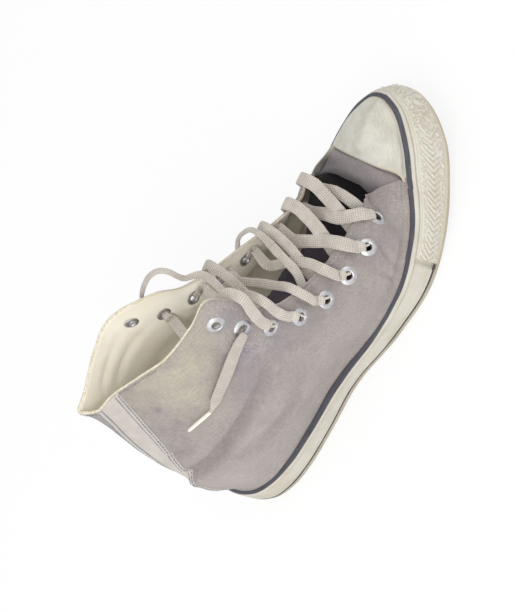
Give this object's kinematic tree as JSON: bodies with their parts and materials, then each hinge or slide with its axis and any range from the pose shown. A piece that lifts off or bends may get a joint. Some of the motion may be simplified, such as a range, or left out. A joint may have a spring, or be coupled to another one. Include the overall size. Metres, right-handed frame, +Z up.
{
  "type": "worn out sneaker",
  "caption": "Worn high-top canvas lace-up sneaker for a right foot, with rubber toe cap, textured toe bumper, wrapped sole and a loosely threaded lace.",
  "frame": {"origin": "middle of the footprint's bounding box, on the floor", "axes": "+X towards the toe, +Y towards the inner (medial) side of the foot, +Z up out of the collar"},
  "size_m": [0.293, 0.1028, 0.1668],
  "materials": {
    "outsole": "matt tan rubber",
    "foxing": "cream rubber, aged",
    "toe_bumper": "textured yellowed rubber",
    "toe_cap": "smooth off-white rubber, scuffed",
    "upper": "faded grey canvas with a cream lining",
    "insole": "worn cloth",
    "tongue": "dark canvas",
    "eyelet": "dulled metal",
    "lace": "woven flat lace",
    "aglet": "worn clear plastic tip"
  },
  "bodies": {
    "root": {"outsole": "outsole", "foxing": "foxing", "toe_bumper": "toe_bumper", "toe_cap": "toe_cap", "upper": "upper", "insole": "insole", "tongue": "tongue", "eyelet_lateral_1": "eyelet", "eyelet_lateral_2": "eyelet", "eyelet_lateral_3": "eyelet", "eyelet_lateral_4": "eyelet", "eyelet_lateral_5": "eyelet", "eyelet_lateral_6": "eyelet", "eyelet_lateral_7": "eyelet", "eyelet_lateral_8": "eyelet", "eyelet_medial_1": "eyelet", "eyelet_medial_2": "eyelet", "eyelet_medial_3": "eyelet", "eyelet_medial_4": "eyelet", "eyelet_medial_5": "eyelet", "eyelet_medial_6": "eyelet", "eyelet_medial_7": "eyelet", "eyelet_medial_8": "eyelet", "lace_bar": "lace", "lace_crossing_1": "lace", "lace_crossing_2": "lace", "lace_crossing_3": "lace", "lace_run_4": "lace", "lace_run_4_far": "lace", "lace_run_5": "lace", "lace_run_5_far": "lace", "lace_run_6": "lace", "lace_loop_front": "lace", "lace_loop_rear": "lace", "lace_end": "lace", "aglet": "aglet"}
  },
  "joints": []
}
